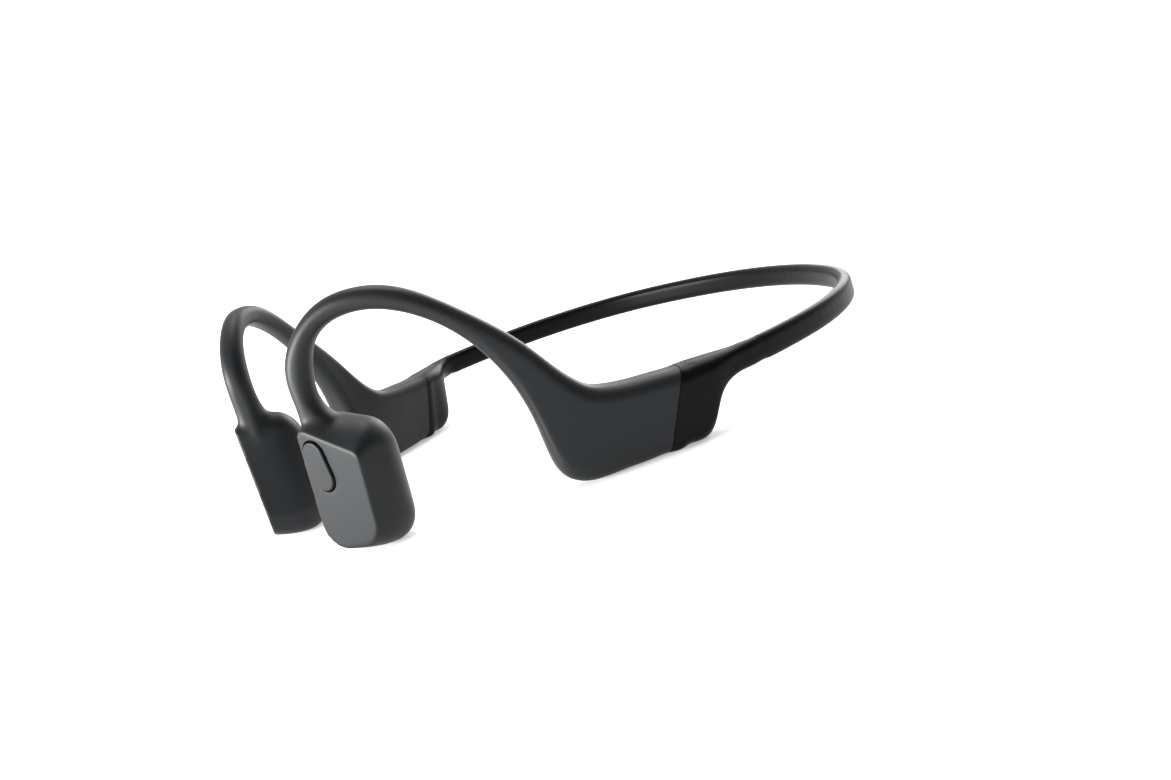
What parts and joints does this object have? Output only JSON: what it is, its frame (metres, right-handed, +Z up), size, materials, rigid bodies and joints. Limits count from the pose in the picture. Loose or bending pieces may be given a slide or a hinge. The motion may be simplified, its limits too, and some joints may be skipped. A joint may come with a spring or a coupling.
{
  "type": "bone conduction headphones",
  "caption": "Open-ear headphones that play through the cheekbones: a flexible neckband behind the head, an electronics box behind each ear, a hook over it and a driver pod in front.",
  "frame": {"origin": "under the middle of the bounding box, on the surface that the pods and boxes stand on", "axes": "+Z up, +X to the wearer's left, -Y forward towards the pods, +Y back towards the neckband"},
  "size_m": [0.1178, 0.1244, 0.045],
  "materials": {
    "black_silicone": "satin soft-touch silicone, near black",
    "grey_silicone": "satin soft-touch silicone, dark slate grey",
    "titanium_wire": "drawn titanium alloy wire",
    "cable_jacket": "matt lead jacket",
    "case_plastic": "moulded nylon, matt",
    "gasket_rubber": "matt seal rubber",
    "spring_steel": "etched spring steel sheet",
    "coil_copper": "enamelled copper winding",
    "switch_plastic": "moulded switch body",
    "cell_foil": "pouch cell foil",
    "circuit_board": "solder-masked board",
    "shield_steel": "tinned shield can",
    "light_lens": "clear moulded lens",
    "port_plastic": "moulded insert",
    "gold_pins": "gold-plated contacts",
    "yoke_steel": "pressed soft iron",
    "magnet_nickel": "nickel-plated magnet",
    "button_grey": "satin button cap, slate grey",
    "button_black": "satin black button cap"
  },
  "bodies": {
    "frame": {"neckband_sleeve": "black_silicone", "neckband_wire": "titanium_wire", "neckband_cable": "cable_jacket", "left_arm_skin": "grey_silicone", "left_hook_wire": "titanium_wire", "left_hook_cable": "cable_jacket", "left_box_shell": "case_plastic", "left_end_plug": "case_plastic", "left_pod_shell": "case_plastic", "left_pod_gasket": "gasket_rubber", "left_spring_plate": "spring_steel", "left_voice_coil": "coil_copper", "left_coil_bobbin": "case_plastic", "left_contact_cover": "grey_silicone", "right_arm_skin": "grey_silicone", "right_hook_wire": "titanium_wire", "right_hook_cable": "cable_jacket", "right_box_shell": "case_plastic", "right_end_plug": "case_plastic", "right_pod_shell": "case_plastic", "right_pod_gasket": "gasket_rubber", "right_spring_plate": "spring_steel", "right_voice_coil": "coil_copper", "right_coil_bobbin": "case_plastic", "right_contact_cover": "grey_silicone", "multifunction_switch": "switch_plastic", "battery_cell": "cell_foil", "battery_board": "circuit_board", "main_board": "circuit_board", "radio_module": "shield_steel", "volume_switch_board": "circuit_board", "status_light": "light_lens", "charging_port": "port_plastic", "charging_pins": "gold_pins", "microphone": "shield_steel"},
    "left_magnet_assembly": {"left_yoke": "yoke_steel", "left_magnet": "magnet_nickel", "left_top_plate": "yoke_steel"},
    "right_magnet_assembly": {"right_yoke": "yoke_steel", "right_magnet": "magnet_nickel", "right_top_plate": "yoke_steel"},
    "multifunction_button": {"multifunction_button": "button_grey"},
    "volume_up_button": {"volume_up_button": "button_black"},
    "volume_down_button": {"volume_down_button": "button_black"}
  },
  "joints": [
    {"name": "multifunction_press", "type": "slide", "parent": "frame", "child": "multifunction_button", "axis": [-0.3156, 0.9489, 0], "range_m": [0, 0.0004], "stiffness_N_per_m": 1500},
    {"name": "volume_up_press", "type": "slide", "parent": "frame", "child": "volume_up_button", "axis": [0, 0, 1], "range_m": [0, 0.00025], "stiffness_N_per_m": 2000},
    {"name": "volume_down_press", "type": "slide", "parent": "frame", "child": "volume_down_button", "axis": [0, 0, 1], "range_m": [0, 0.00025], "stiffness_N_per_m": 2000},
    {"name": "left_driver_shake", "type": "slide", "parent": "frame", "child": "left_magnet_assembly", "axis": [0.3156, -0.9489, 0], "range_m": [-0.00025, 0.00025], "stiffness_N_per_m": 800},
    {"name": "right_driver_shake", "type": "slide", "parent": "frame", "child": "right_magnet_assembly", "axis": [-0.3156, -0.9489, 0], "range_m": [-0.00025, 0.00025], "stiffness_N_per_m": 800}
  ]
}
